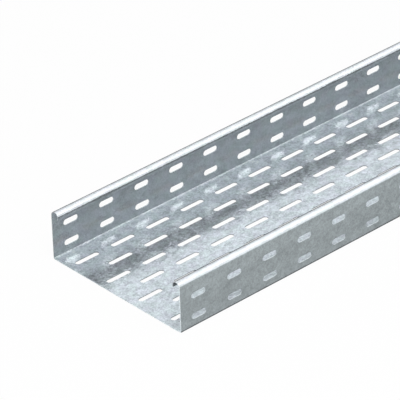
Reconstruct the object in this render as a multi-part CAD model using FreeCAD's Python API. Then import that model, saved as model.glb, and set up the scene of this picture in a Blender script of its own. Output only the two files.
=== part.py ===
import FreeCAD, Part
import os

# A length of perforated cable tray: one sheet of galvanised steel, punched and
# then rolled into a channel with a hooked rim along the top of each side wall.
# Sizes are in millimetres. X runs along the tray, Y across it and Z up. The
# origin lies under the middle of the base, on the level the tray rests on.

# The rolled section
tray_length = 2000.0
tray_width = 200.0
tray_height = 60.0
sheet_thickness = 1.0
fold_inner_radius = 1.0
rim_outer_radius = 5.5
rim_lip_length = 2.2

# The slot pattern
slot_pitch = 50.0
base_slot_length = 31.6
base_slot_width = 6.6
base_row_spacing = 25.0
base_edge_margin = 15.0
side_slot_length = 20.0
side_slot_width = 7.0
side_first_row_height = 13.0
side_row_spacing = 25.0
side_rim_margin = 3.0

# Sizes that follow from the ones above
half_length = tray_length / 2
half_width = tray_width / 2
fold_outer_radius = fold_inner_radius + sheet_thickness
rim_centre_height = tray_height - rim_outer_radius
lip_bottom_height = rim_centre_height - rim_lip_length
punch_overrun = sheet_thickness
diagonal = 0.5 ** 0.5  # cosine of the half turn at the middle of each fold


def section_point(y, z):
    return FreeCAD.Vector(-half_length, y, z)


def line(start, end):
    return Part.LineSegment(start, end).toShape()


def arc(start, middle, end):
    return Part.Arc(start, middle, end).toShape()


# The sheet on one side of the tray, from the edge of the flat base round the
# outside of the wall and rim to the lip, and back down the inside.
def half_section(side):
    def at(inset, height):
        return section_point(side * (half_width - inset), height)

    outer_fold_middle = fold_outer_radius - fold_outer_radius * diagonal
    inner_fold_middle = fold_outer_radius - fold_inner_radius * diagonal
    rim_span = 2 * rim_outer_radius
    outer_base = at(fold_outer_radius, 0)
    outer_wall_foot = at(0, fold_outer_radius)
    outer_wall_top = at(0, rim_centre_height)
    outer_lip_top = at(rim_span, rim_centre_height)
    outer_lip_end = at(rim_span, lip_bottom_height)
    inner_lip_end = at(rim_span - sheet_thickness, lip_bottom_height)
    inner_lip_top = at(rim_span - sheet_thickness, rim_centre_height)
    inner_wall_top = at(sheet_thickness, rim_centre_height)
    inner_wall_foot = at(sheet_thickness, fold_outer_radius)
    inner_base = at(fold_outer_radius, sheet_thickness)
    return [
        arc(outer_base, at(outer_fold_middle, outer_fold_middle), outer_wall_foot),
        line(outer_wall_foot, outer_wall_top),
        arc(outer_wall_top, at(rim_outer_radius, tray_height), outer_lip_top),
        line(outer_lip_top, outer_lip_end),
        line(outer_lip_end, inner_lip_end),
        line(inner_lip_end, inner_lip_top),
        arc(inner_lip_top, at(rim_outer_radius, tray_height - sheet_thickness), inner_wall_top),
        line(inner_wall_top, inner_wall_foot),
        arc(inner_wall_foot, at(inner_fold_middle, inner_fold_middle), inner_base),
    ]


# The whole section drawn as one closed outline and drawn out along the tray.
def rolled_sheet():
    flat_half = half_width - fold_outer_radius
    base_under = line(section_point(-flat_half, 0), section_point(flat_half, 0))
    base_top = line(section_point(-flat_half, sheet_thickness), section_point(flat_half, sheet_thickness))
    outline = half_section(1) + [base_top] + half_section(-1)[::-1] + [base_under]
    return Part.Face(Part.Wire(outline)).extrude(FreeCAD.Vector(tray_length, 0, 0))


# A round-ended slot lying along X, centred on a point, punched in a direction.
def slot_punch(centre, length, width, across, stroke):
    radius = width / 2
    reach = FreeCAD.Vector(length / 2 - radius, 0, 0)
    tip = FreeCAD.Vector(length / 2, 0, 0)
    side = across * radius
    edges = [
        line(centre - reach - side, centre + reach - side),
        arc(centre + reach - side, centre + tip, centre + reach + side),
        line(centre + reach + side, centre - reach + side),
        arc(centre - reach + side, centre - tip, centre - reach - side),
    ]
    return Part.Face(Part.Wire(edges)).extrude(stroke)


# Slot centres along the tray. A full row has a slot in the middle of every
# pitch; a shifted row has one between each two of those.
def row_positions(shifted):
    pitches = int(tray_length / slot_pitch)
    count = pitches - 1 if shifted else pitches
    first = -(count - 1) / 2 * slot_pitch
    return [first + index * slot_pitch for index in range(count)]


# Rows are counted outward from the middle of the base, which is a shifted row,
# and full and shifted rows take turns from there.
def base_punches():
    across = FreeCAD.Vector(0, 1, 0)
    stroke = FreeCAD.Vector(0, 0, sheet_thickness + 2 * punch_overrun)
    rows_each_side = int((half_width - base_edge_margin) / base_row_spacing)
    punches = []
    for row in range(-rows_each_side, rows_each_side + 1):
        for x in row_positions(shifted=row % 2 == 0):
            centre = FreeCAD.Vector(x, row * base_row_spacing, -punch_overrun)
            punches.append(slot_punch(centre, base_slot_length, base_slot_width, across, stroke))
    return punches


# The same rows of slots in both side walls, one above the other.
def side_punches():
    across = FreeCAD.Vector(0, 0, 1)
    stroke = FreeCAD.Vector(0, sheet_thickness + 2 * punch_overrun, 0)
    top_row_limit = lip_bottom_height - side_rim_margin - side_slot_width / 2
    rows = int((top_row_limit - side_first_row_height) / side_row_spacing) + 1
    wall_starts = [-half_width - punch_overrun, half_width - sheet_thickness - punch_overrun]
    punches = []
    for start in wall_starts:
        for row in range(rows):
            height = side_first_row_height + row * side_row_spacing
            for x in row_positions(shifted=False):
                centre = FreeCAD.Vector(x, start, height)
                punches.append(slot_punch(centre, side_slot_length, side_slot_width, across, stroke))
    return punches


def cable_tray():
    return rolled_sheet().cut(base_punches() + side_punches())


os.makedirs("parts", exist_ok=True)
cable_tray().exportStep("parts/cable_tray.step")
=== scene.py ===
import math

import bpy
from mathutils import Matrix, Vector

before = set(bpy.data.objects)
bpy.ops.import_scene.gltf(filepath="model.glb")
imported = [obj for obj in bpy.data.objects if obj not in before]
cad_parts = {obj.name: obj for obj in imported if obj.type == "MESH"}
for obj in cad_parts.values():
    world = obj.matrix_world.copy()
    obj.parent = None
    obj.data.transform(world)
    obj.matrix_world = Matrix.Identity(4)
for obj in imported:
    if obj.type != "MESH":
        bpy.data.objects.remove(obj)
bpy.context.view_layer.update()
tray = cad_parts["cable_tray"]
print("frame loaded")


# A value in a shader. Sums on it add Math nodes, and node() adds any other kind.
class Signal:
    def __init__(self, tree, socket=None):
        self.tree = tree
        self.socket = socket

    def node(self, kind, settings=None, inputs=None, output=0):
        made = self.tree.nodes.new(kind)
        for name, value in (settings or {}).items():
            setattr(made, name, value)
        for name, value in (inputs or {}).items():
            if isinstance(value, Signal):
                self.tree.links.new(value.socket, made.inputs[name])
            else:
                made.inputs[name].default_value = value
        return Signal(self.tree, made.outputs[output] if len(made.outputs) else None)

    def maths(self, operation, first, second=0.0):
        return self.node("ShaderNodeMath", {"operation": operation}, {0: first, 1: second})

    def vectors(self, operation, first, second):
        return self.node("ShaderNodeVectorMath", {"operation": operation}, {0: first, 1: second})

    def scaled(self, vector, factor):
        return self.node("ShaderNodeVectorMath", {"operation": "SCALE"},
                         {0: vector, "Scale": factor})

    def __add__(self, other):
        return self.maths("ADD", self, other)

    def __radd__(self, other):
        return self.maths("ADD", other, self)

    def __sub__(self, other):
        return self.maths("SUBTRACT", self, other)

    def __rsub__(self, other):
        return self.maths("SUBTRACT", other, self)

    def __mul__(self, other):
        return self.maths("MULTIPLY", self, other)

    def __rmul__(self, other):
        return self.maths("MULTIPLY", other, self)

    def __abs__(self):
        return self.maths("ABSOLUTE", self)

    def split(self):  # the three parts of a vector
        parts = self.node("ShaderNodeSeparateXYZ", {}, {0: self})
        return [Signal(self.tree, socket) for socket in parts.socket.node.outputs]

    def between(self, span):  # 0 below the span, 1 above it, smooth in it
        low, high = span
        return self.node("ShaderNodeMapRange", {"interpolation_type": "SMOOTHSTEP"},
                         {"Value": self, "From Min": low, "From Max": high})

    def blended(self, first, second):  # numbers, this value being the share of the second
        return first + (second - first) * self

    def mixed(self, first, second):  # the same for colours
        return self.node("ShaderNodeMix", {"data_type": "RGBA"}, {0: self, 6: first, 7: second}, 2)


def newMaterial(name):
    material = bpy.data.materials.new(name)
    material.use_nodes = True
    material.node_tree.nodes.clear()
    return material, Signal(material.node_tree)


white = (1, 1, 1, 1)

galvanising = {
    "dullZinc": (0.282, 0.312, 0.334, 1.0),
    "brightZinc": (0.722, 0.800, 0.855, 1.0),
    "brightest": (0.97, 0.97, 0.97),
    "metallic": 0.64,
    "roughness": 0.05,
    "bloomRoughness": 0.08,
    "cutRoughness": 0.15,
    "edgeTint": (0.30, 0.32, 0.34, 1.0),
    # painted light and shade on the flat base, which keeps its bloom
    "basePaintedLight": 1.09,
    "leftPaintedLight": 1.30,  # painted light, left of the middle
    "leftCornerPaintedLight": 1.39,  # more painted light beside the left wall
    # painted shade right of the middle, and more beside the right wall
    "rightPaintedShade": 1.03,
    "rightCornerPaintedShade": 0.95,
    # painted shade on the rolled walls, darkest at the inside foot and lighter towards the tops
    "insideFootPaintedShade": 0.488,
    "insidePaintedShade": 0.528,
    "insideTopPaintedShade": 0.580,
    "outsidePaintedShade": 0.573,
    "outsideTopPaintedShade": 0.625,
    "foldPaintedShade": 0.22,  # painted shade under the outer fold
    "creasePaintedHighlight": 1.70,  # painted highlight along the inner fold
    # painted light on the rims
    "rimPaintedLight": 1.04,
    "shoulderPaintedHighlight": 1.22,  # painted highlight on the shoulders of the rims that face right
    "farRimPaintedDarkReflection": 0.08,  # painted dark reflection on the sides of the rims that face left, shown through a matt share
    "farRimDarkReflectionMatt": 0.95,
    "hookPaintedShade": 0.10,  # painted shade inside the rolled rim
    "slotCutDarkAndShade": 0.50,  # darker cut faces where the slots were punched, partly painted shade
    "slotFootPaintedHighlight": 1.15,  # painted highlight on the edges that face up and to the near end
    "leftEndPaintedShade": 0.77,  # painted shade on the left wall's cut end and painted light on the right wall's, where the length was cut off
    "rightEndPaintedLight": 1.60,
    "frontLeftPaintedLight": 1.09,  # painted light on the cut front edge of the base, more on the right
    "frontRightPaintedLight": 1.60,
    # faint tints of the zinc; those of the walls, rims, far rims and inner fold go with their
    # painted light and shade
    "insideShadeTint": (1.025, 1.0, 0.98, 1.0),
    "outsideShadeTint": (0.99, 1.0, 0.965, 1.0),
    "rimHighlightTint": (1.045, 1.0, 0.975, 1.0),
    "farRimReflectionTint": (0.97, 1.0, 1.05, 1.0),
    "creaseHighlightTint": (1.04, 1.0, 0.95, 1.0),
    "violetCast": (1.03, 1.0, 1.03, 1.0),
    "greenCast": (0.97, 1.0, 0.97, 1.0),
    "castSize": 0.012,
    "castSpan": (0.32, 0.68),
    # the bloom, and each pattern's size, contrast and share in it
    "cloudSize": 0.0060,
    "cloudSpan": (0.34, 0.66),
    "cloudShare": 0.36,
    "stretch": (0.90, 1.18, 1.0),  # the clouding runs a little along the tray
    "driftSize": 0.022,
    "driftSpan": (0.30, 0.70),
    "driftShare": 0.14,
    "grainSize": 0.0018,
    "grainSpan": (0.36, 0.64),
    "grainShare": 0.34,
    "facetSize": 0.0060,
    "facetShare": 0.16,
    "facetTilt": 0.045,
    # how much of the bloom the rolls took out
    "wallCalm": 0.40,
    "insideCalm": 0.56,
    "rimCalm": 0.65,
    "bandStir": 0.34,  # and how much more of it there is along the left half of the base
    # the relief
    "rippleDepth": 0.00024,
    "cloudRelief": 0.45,
    "grainRelief": 0.55,
    "waveRelief": 2.6,
    "waveLength": 0.030,  # of the bend below the rims, along the tray
    "waveFineness": 130.0,  # and across it
}

# Where the rolled section changes, in metres: each pair is where a zone starts
# and where it is reached in full.
sheet = {
    "wall": (0.0018, 0.0021),  # heights
    "bend": (0.0520, 0.0555),
    "rim": (0.0555, 0.0575),
    "base": (0.0010, 0.0012),
    "insideFoot": (0.006, 0.016),
    "insideTop": (0.034, 0.046),
    "outsideTop": (0.036, 0.044),
    "frontTop": (0.0015, 0.0030),
    "innerFold": (0.0985, 0.0987),  # distances from the middle
    "innerFace": (0.0988, 0.0989),
    "outerFace": (0.0993, 0.0997),
    "outerFold": (0.0970, 0.0979),  # the same, less the height
    "lengthEnd": (0.9997, 0.9999),
    "bandStart": (0.022, 0.030),  # places across the base, the left being positive
    "bandEnd": (0.046, 0.056),
    "left": (0.045, 0.056),
    "leftCorner": (0.085, 0.091),
    "right": (-0.004, 0.018),
    "rightCorner": (-0.085, -0.065),
    "rightEnd": (-0.098, -0.090),
    "front": (-0.070, 0.060),
}

# Which way the metal faces there, as parts of its unit normal.
facings = {
    "endOn": (0.7, 0.9),
    "flatOn": (0.3, 0.6),
    "hook": (-0.6, -0.1),
    "farRim": (0.18, 0.38),
    "farRimEnd": (0.84, 0.97),
    "shoulder": (-0.40, -0.18),
    "shoulderEnd": (-0.92, -0.72),
    "slotFoot": (0.4, 0.8),
    "slotNear": (-0.75, -0.35),
}


# How far a point belongs to each part of the rolled section, 0 to 1.
def findZones(place, facing):
    along, across, height = place.split()
    facingAlong, facingAcross, facingUp = facing.split()
    aside = abs(across)
    rim = height.between(sheet["rim"])
    wall = height.between(sheet["wall"]) * (1 - rim)
    fold = (aside - height).between(sheet["outerFold"])
    endCut = abs(facingAlong).between(facings["endOn"]) * abs(along).between(sheet["lengthEnd"])
    baseCut = ((1 - height.between(sheet["base"]))
               * (1 - abs(facingUp).between(facings["flatOn"])) * (1 - fold))
    wallCut = (aside.between(sheet["innerFace"]) * wall
               * (1 - abs(facingAcross).between(facings["flatOn"])))
    footOrNear = place.maths("MAXIMUM", facingUp.between(facings["slotFoot"]),
                             1 - facingAlong.between(facings["slotNear"]))
    return {
        "across": across,
        "height": height,
        "wall": wall,
        "rim": rim,
        "flat": (1 - wall) * (1 - rim),
        "fold": fold,
        "bend": height.between(sheet["bend"]),
        "outside": aside.between(sheet["outerFace"]),
        "crease": aside.between(sheet["innerFold"]) * (1 - wall) * (1 - rim) * (1 - fold),
        "hook": rim * (1 - facingUp.between(facings["hook"])),
        "farRim": (rim * facingAcross.between(facings["farRim"])
                   * (1 - facingAcross.between(facings["farRimEnd"]))),
        "shoulder": (rim * (1 - facingAcross.between(facings["shoulder"]))
                     * facingAcross.between(facings["shoulderEnd"])),
        "endCut": endCut,
        "slotCut": place.maths("MAXIMUM", baseCut, wallCut) * (1 - endCut),
        "slotFoot": wallCut * footOrNear,
        "band": (across.between(sheet["bandStart"]) * (1 - across.between(sheet["bandEnd"]))
                 * (1 - wall) * (1 - rim)),
    }


# The light and shade painted into the zinc in each zone, as a factor on its colour.
def paintedLightTone(zone, look):
    across, height, outside = zone["across"], zone["height"], zone["outside"]
    # painted shade on the walls, inside and outside
    foot, top = height.between(sheet["insideFoot"]), height.between(sheet["insideTop"])
    insidePaintedShade = foot.blended(look["insideFootPaintedShade"], look["insidePaintedShade"])
    insidePaintedShade = insidePaintedShade + (look["insideTopPaintedShade"] - look["insidePaintedShade"]) * top
    top = height.between(sheet["outsideTop"])
    outsidePaintedShade = top.blended(look["outsidePaintedShade"], look["outsideTopPaintedShade"])
    wallPaintedShade = insidePaintedShade * (1 - outside) + outsidePaintedShade * outside
    tone = look["basePaintedLight"] + (wallPaintedShade - look["basePaintedLight"]) * zone["wall"]
    tone = tone + (look["rimPaintedLight"] - look["basePaintedLight"]) * zone["rim"]
    tone = tone + (look["shoulderPaintedHighlight"] - look["rimPaintedLight"]) * zone["shoulder"]

    # painted light and shade across the base, each step from the tone before it
    steps = [
        (look["leftPaintedLight"] - look["basePaintedLight"], across.between(sheet["left"])),
        (look["leftCornerPaintedLight"] - look["leftPaintedLight"], across.between(sheet["leftCorner"])),
        (look["rightPaintedShade"] - look["basePaintedLight"], 1 - across.between(sheet["right"])),
        (look["rightCornerPaintedShade"] - look["rightPaintedShade"], 1 - across.between(sheet["rightCorner"])),
    ]
    for step, share in steps:
        tone = tone + step * share * zone["flat"]

    # bare metal at the cuts, darker with painted shade in the slots and with painted light and
    # shade on the cut ends, then the painted highlight, shade and dark reflection that lie over
    # all of that
    slotCutDarkAndShade = zone["slotFoot"].blended(look["slotCutDarkAndShade"], look["slotFootPaintedHighlight"])
    rightEnd = 1 - across.between(sheet["rightEnd"])
    endPaintedLightAndShade = rightEnd.blended(look["leftEndPaintedShade"], look["rightEndPaintedLight"])
    frontLeft = across.between(sheet["front"])
    frontPaintedLight = frontLeft.blended(look["frontRightPaintedLight"], look["frontLeftPaintedLight"])
    endPaintedLightAndShade = height.between(sheet["frontTop"]).blended(frontPaintedLight, endPaintedLightAndShade)
    covers = [
        (zone["crease"], look["creasePaintedHighlight"]),
        (zone["fold"], look["foldPaintedShade"]),
        (zone["hook"], look["hookPaintedShade"]),
        (zone["farRim"], look["farRimPaintedDarkReflection"]),
        (zone["slotCut"], slotCutDarkAndShade),
        (zone["endCut"], endPaintedLightAndShade),
    ]
    for share, part in covers:
        tone = tone * (1 - share) + part * share
    return tone


# tints that go with the painted light and shade of each zone
def zoneTint(zone, look):
    sides = zone["outside"].mixed(look["insideShadeTint"], look["outsideShadeTint"])
    tint = zone["wall"].mixed(zone["rim"].mixed(white, look["rimHighlightTint"]), sides)
    tint = zone["crease"].mixed(tint, look["creaseHighlightTint"])
    return zone["farRim"].mixed(tint, look["farRimReflectionTint"])


def noise(vector, size, detail, roughness, distortion=0.0, output=0):
    return vector.node("ShaderNodeTexNoise", {}, {
        "Vector": vector, "Scale": 1 / size, "Detail": detail, "Roughness": roughness,
        "Distortion": distortion}, output)


def galvanisedSteel(look):
    material, shader = newMaterial("galvanisedSteel")
    place = shader.node("ShaderNodeTexCoord", output="Object")
    zone = findZones(place, shader.node("ShaderNodeNewGeometry", output="True Normal"))

    # the patterns in the zinc
    drawn = shader.node("ShaderNodeMapping", {}, {"Vector": place, "Scale": look["stretch"]})
    clouds = noise(drawn, look["cloudSize"], 6.0, 0.66, 0.9)
    drift = noise(place, look["driftSize"], 3.0, 0.5)
    grain = noise(place, look["grainSize"], 2.0, 0.5, 0.6)
    casts = noise(place, look["castSize"], 3.0, 0.6)
    stir = noise(place, look["facetSize"] / 2, 3.0, 0.6, output="Color")
    stirred = shader.vectors("ADD", place, shader.scaled(stir, look["facetSize"]))
    facets = shader.node("ShaderNodeTexVoronoi", {"feature": "F1"}, {
        "Vector": stirred, "Scale": 1 / look["facetSize"], "Randomness": 1.0}, "Color")
    facet = shader.node("ShaderNodeSeparateColor", {}, {0: facets})
    waveScale = (1 / look["waveLength"], look["waveFineness"], look["waveFineness"])
    rolled = shader.node("ShaderNodeMapping", {}, {"Vector": place, "Scale": waveScale})
    waves = noise(rolled, 1.0, 2.0, 0.5)

    # the bloom, calmed where the sheet was rolled
    bloom = (clouds.between(look["cloudSpan"]) * look["cloudShare"]
             + drift.between(look["driftSpan"]) * look["driftShare"]
             + grain.between(look["grainSpan"]) * look["grainShare"]
             + facet * look["facetShare"])
    calm = (look["wallCalm"] * zone["wall"]
            + (look["insideCalm"] - look["wallCalm"]) * zone["wall"] * (1 - zone["outside"])
            + look["rimCalm"] * zone["rim"])
    calm = calm - look["bandStir"] * zone["band"]
    bloom = 0.5 + (bloom - 0.5) * (1 - calm)

    colour = bloom.mixed(look["dullZinc"], look["brightZinc"])
    colour = shader.vectors("MULTIPLY", colour, zoneTint(zone, look))
    cast = casts.between(look["castSpan"]).mixed(look["greenCast"], look["violetCast"])
    cast = (zone["wall"] * zone["outside"]).mixed(cast, white)
    colour = shader.vectors("MULTIPLY", colour, cast)
    # the painted light and shade of each zone
    colour = shader.scaled(colour, paintedLightTone(zone, look))
    colour = shader.vectors("MINIMUM", colour, look["brightest"])
    roughness = (look["roughness"] + look["bloomRoughness"] * (bloom - 0.5)
                 + look["cutRoughness"] * zone["slotCut"])

    # each facet leans its own way, and ripples lie over them
    lean = shader.scaled(shader.vectors("SUBTRACT", facets, (0.5, 0.5, 0.5)), look["facetTilt"])
    leaning = shader.vectors("ADD", shader.node("ShaderNodeNewGeometry", output="Normal"), lean)
    leaning = shader.node("ShaderNodeVectorMath", {"operation": "NORMALIZE"}, {0: leaning})
    relief = (clouds * look["cloudRelief"] + grain * look["grainRelief"]
              + (waves - 0.5) * zone["bend"] * look["waveRelief"])
    ripples = shader.node("ShaderNodeBump", {}, {
        "Strength": 1.0, "Distance": look["rippleDepth"], "Height": relief, "Normal": leaning})

    bright = shader.node("ShaderNodeBsdfPrincipled", {}, {
        "Base Color": colour, "Metallic": look["metallic"], "Roughness": roughness,
        "Specular Tint": look["edgeTint"], "Normal": ripples})
    # a matt copy that shows the painted dark reflection on the far sides of the rims
    dull = shader.node("ShaderNodeBsdfDiffuse", {}, {"Color": colour, "Normal": ripples})
    darkReflectionShare = zone["farRim"] * look["farRimDarkReflectionMatt"]
    surface = shader.node("ShaderNodeMixShader", {}, {0: darkReflectionShare, 1: bright, 2: dull})
    shader.node("ShaderNodeOutputMaterial", {}, {"Surface": surface})
    return material


tray.data.materials.clear()
tray.data.materials.append(galvanisedSteel(galvanising))
print("tray finished")


stage = {
    "floorReach": 60.0,
    "floorDrop": 0.0002,
    "floorColour": (0.85, 0.85, 0.85, 1.0),
    "whiteShare": 0.96,
    "skyLight": 0.06,
}


# 1 for what the camera sees and what is mirrored, 0 for all other light.
def seenRays(shader):
    rays = ["Is Camera Ray", "Is Glossy Ray", "Is Transmission Ray"]
    path = shader.node("ShaderNodeLightPath")
    seen = [Signal(shader.tree, path.socket.node.outputs[ray]) for ray in rays]
    return shader.maths("MAXIMUM", shader.maths("MAXIMUM", seen[0], seen[1]), seen[2])


def makeFloor(look):
    half = look["floorReach"] / 2
    corners = [(-half, -half, 0), (half, -half, 0), (half, half, 0), (-half, half, 0)]
    mesh = bpy.data.meshes.new("floor")
    mesh.from_pydata(corners, [], [(0, 1, 2, 3)])
    floor = bpy.data.objects.new("floor", mesh)
    floor.location.z = -look["floorDrop"]
    bpy.context.scene.collection.objects.link(floor)
    material, shader = newMaterial("paleFloor")
    matt = shader.node("ShaderNodeBsdfDiffuse", {}, {"Color": look["floorColour"]})
    shining = shader.node("ShaderNodeEmission", {}, {"Color": white, "Strength": 1.0})
    share = seenRays(shader) * look["whiteShare"]
    surface = shader.node("ShaderNodeMixShader", {}, {0: share, 1: matt, 2: shining})
    shader.node("ShaderNodeOutputMaterial", {}, {"Surface": surface})
    mesh.materials.append(material)


def makeSky(look):
    world = bpy.data.worlds.new("studio")
    world.use_nodes = True
    world.node_tree.nodes.clear()
    shader = Signal(world.node_tree)
    level = look["skyLight"] + (1 - look["skyLight"]) * seenRays(shader)
    background = shader.node("ShaderNodeBackground", {}, {"Color": white, "Strength": level})
    shader.node("ShaderNodeOutputWorld", {}, {"Surface": background})
    bpy.context.scene.world = world


# Each lamp hangs round the near end of the tray: how far it leans along the
# tray, as a sine, its angle round it in degrees from the left, and its distance
# in metres. The panels light the metal, and the strips are also mirrored in it.
lamps = {
    "keyPanel": {"ahead": -0.5, "angle": 125, "distance": 3.0, "size": (2.2, 2.2),
                 "power": 65.0, "mirrored": False},
    "fillPanel": {"ahead": 0.0, "angle": 130, "distance": 3.0, "size": (2.2, 2.2),
                  "power": 38.0, "mirrored": False},
    "backPanel": {"ahead": 0.0, "angle": 20, "distance": 3.0, "size": (2.2, 1.6),
                  "power": 26.0, "mirrored": False},
    "backStrip": {"ahead": 0.566, "angle": 40, "distance": 6.0, "size": (2.6, 1.7),
                  "power": 5.5, "mirrored": True},
    "gapStrip": {"ahead": 0.566, "angle": 70, "distance": 6.0, "size": (2.6, 1.7),
                 "power": 13.7, "mirrored": True},
    "topStrip": {"ahead": 0.566, "angle": 100, "distance": 7.0, "size": (2.8, 2.6),
                 "power": 19.5, "mirrored": True},
    "frontStrip": {"ahead": 0.566, "angle": 129, "distance": 6.0, "size": (2.6, 3.2),
                   "power": 26.0, "mirrored": True},
    "lowStrip": {"ahead": 0.566, "angle": 173, "distance": 6.0, "size": (2.6, 1.9),
                 "power": 16.0, "mirrored": True},
}
lampAim = (-0.75, 0.0, 0.03)


def hangLamps(softboxes):
    for name, box in softboxes.items():
        light = bpy.data.lights.new(name, "AREA")
        light.shape = "RECTANGLE"
        light.size, light.size_y = box["size"]
        light.energy = box["power"]
        lamp = bpy.data.objects.new(name, light)
        lamp.visible_glossy = box["mirrored"]
        angle = math.radians(box["angle"])
        reach = math.sqrt(1 - box["ahead"] ** 2)
        back = Vector((box["ahead"], reach * math.cos(angle), reach * math.sin(angle)))
        across = back.cross(Vector((1, 0, 0))).normalized()
        along = across.cross(back)  # the lamp's first side lies along the tray
        place = Vector(lampAim) + box["distance"] * back
        turn = Matrix((along, across, back)).transposed().to_4x4()
        lamp.matrix_world = Matrix.Translation(place) @ turn
        bpy.context.scene.collection.objects.link(lamp)


view = {
    "azimuth": -41.601,
    "elevation": 31.553,
    "roll": -1.815,
    "distance": 3.7222,
    "aim": (-0.81185, 0.07675, 0.001),
    "lens": 309.77,
    "clip": (0.1, 200.0),
}


def setCamera(look):
    lens = bpy.data.cameras.new("camera")
    lens.lens = look["lens"]
    lens.clip_start, lens.clip_end = look["clip"]
    camera = bpy.data.objects.new("camera", lens)
    turn = (Matrix.Rotation(math.radians(look["azimuth"]), 4, "Z")
            @ Matrix.Rotation(math.radians(90 - look["elevation"]), 4, "X")
            @ Matrix.Rotation(math.radians(look["roll"]), 4, "Z"))
    back = Matrix.Translation((0, 0, look["distance"]))
    camera.matrix_world = Matrix.Translation(look["aim"]) @ turn @ back
    bpy.context.scene.collection.objects.link(camera)
    bpy.context.scene.camera = camera


makeFloor(stage)
makeSky(stage)
hangLamps(lamps)
setCamera(view)
bpy.context.scene.view_settings.view_transform = "Standard"
print("studio ready")
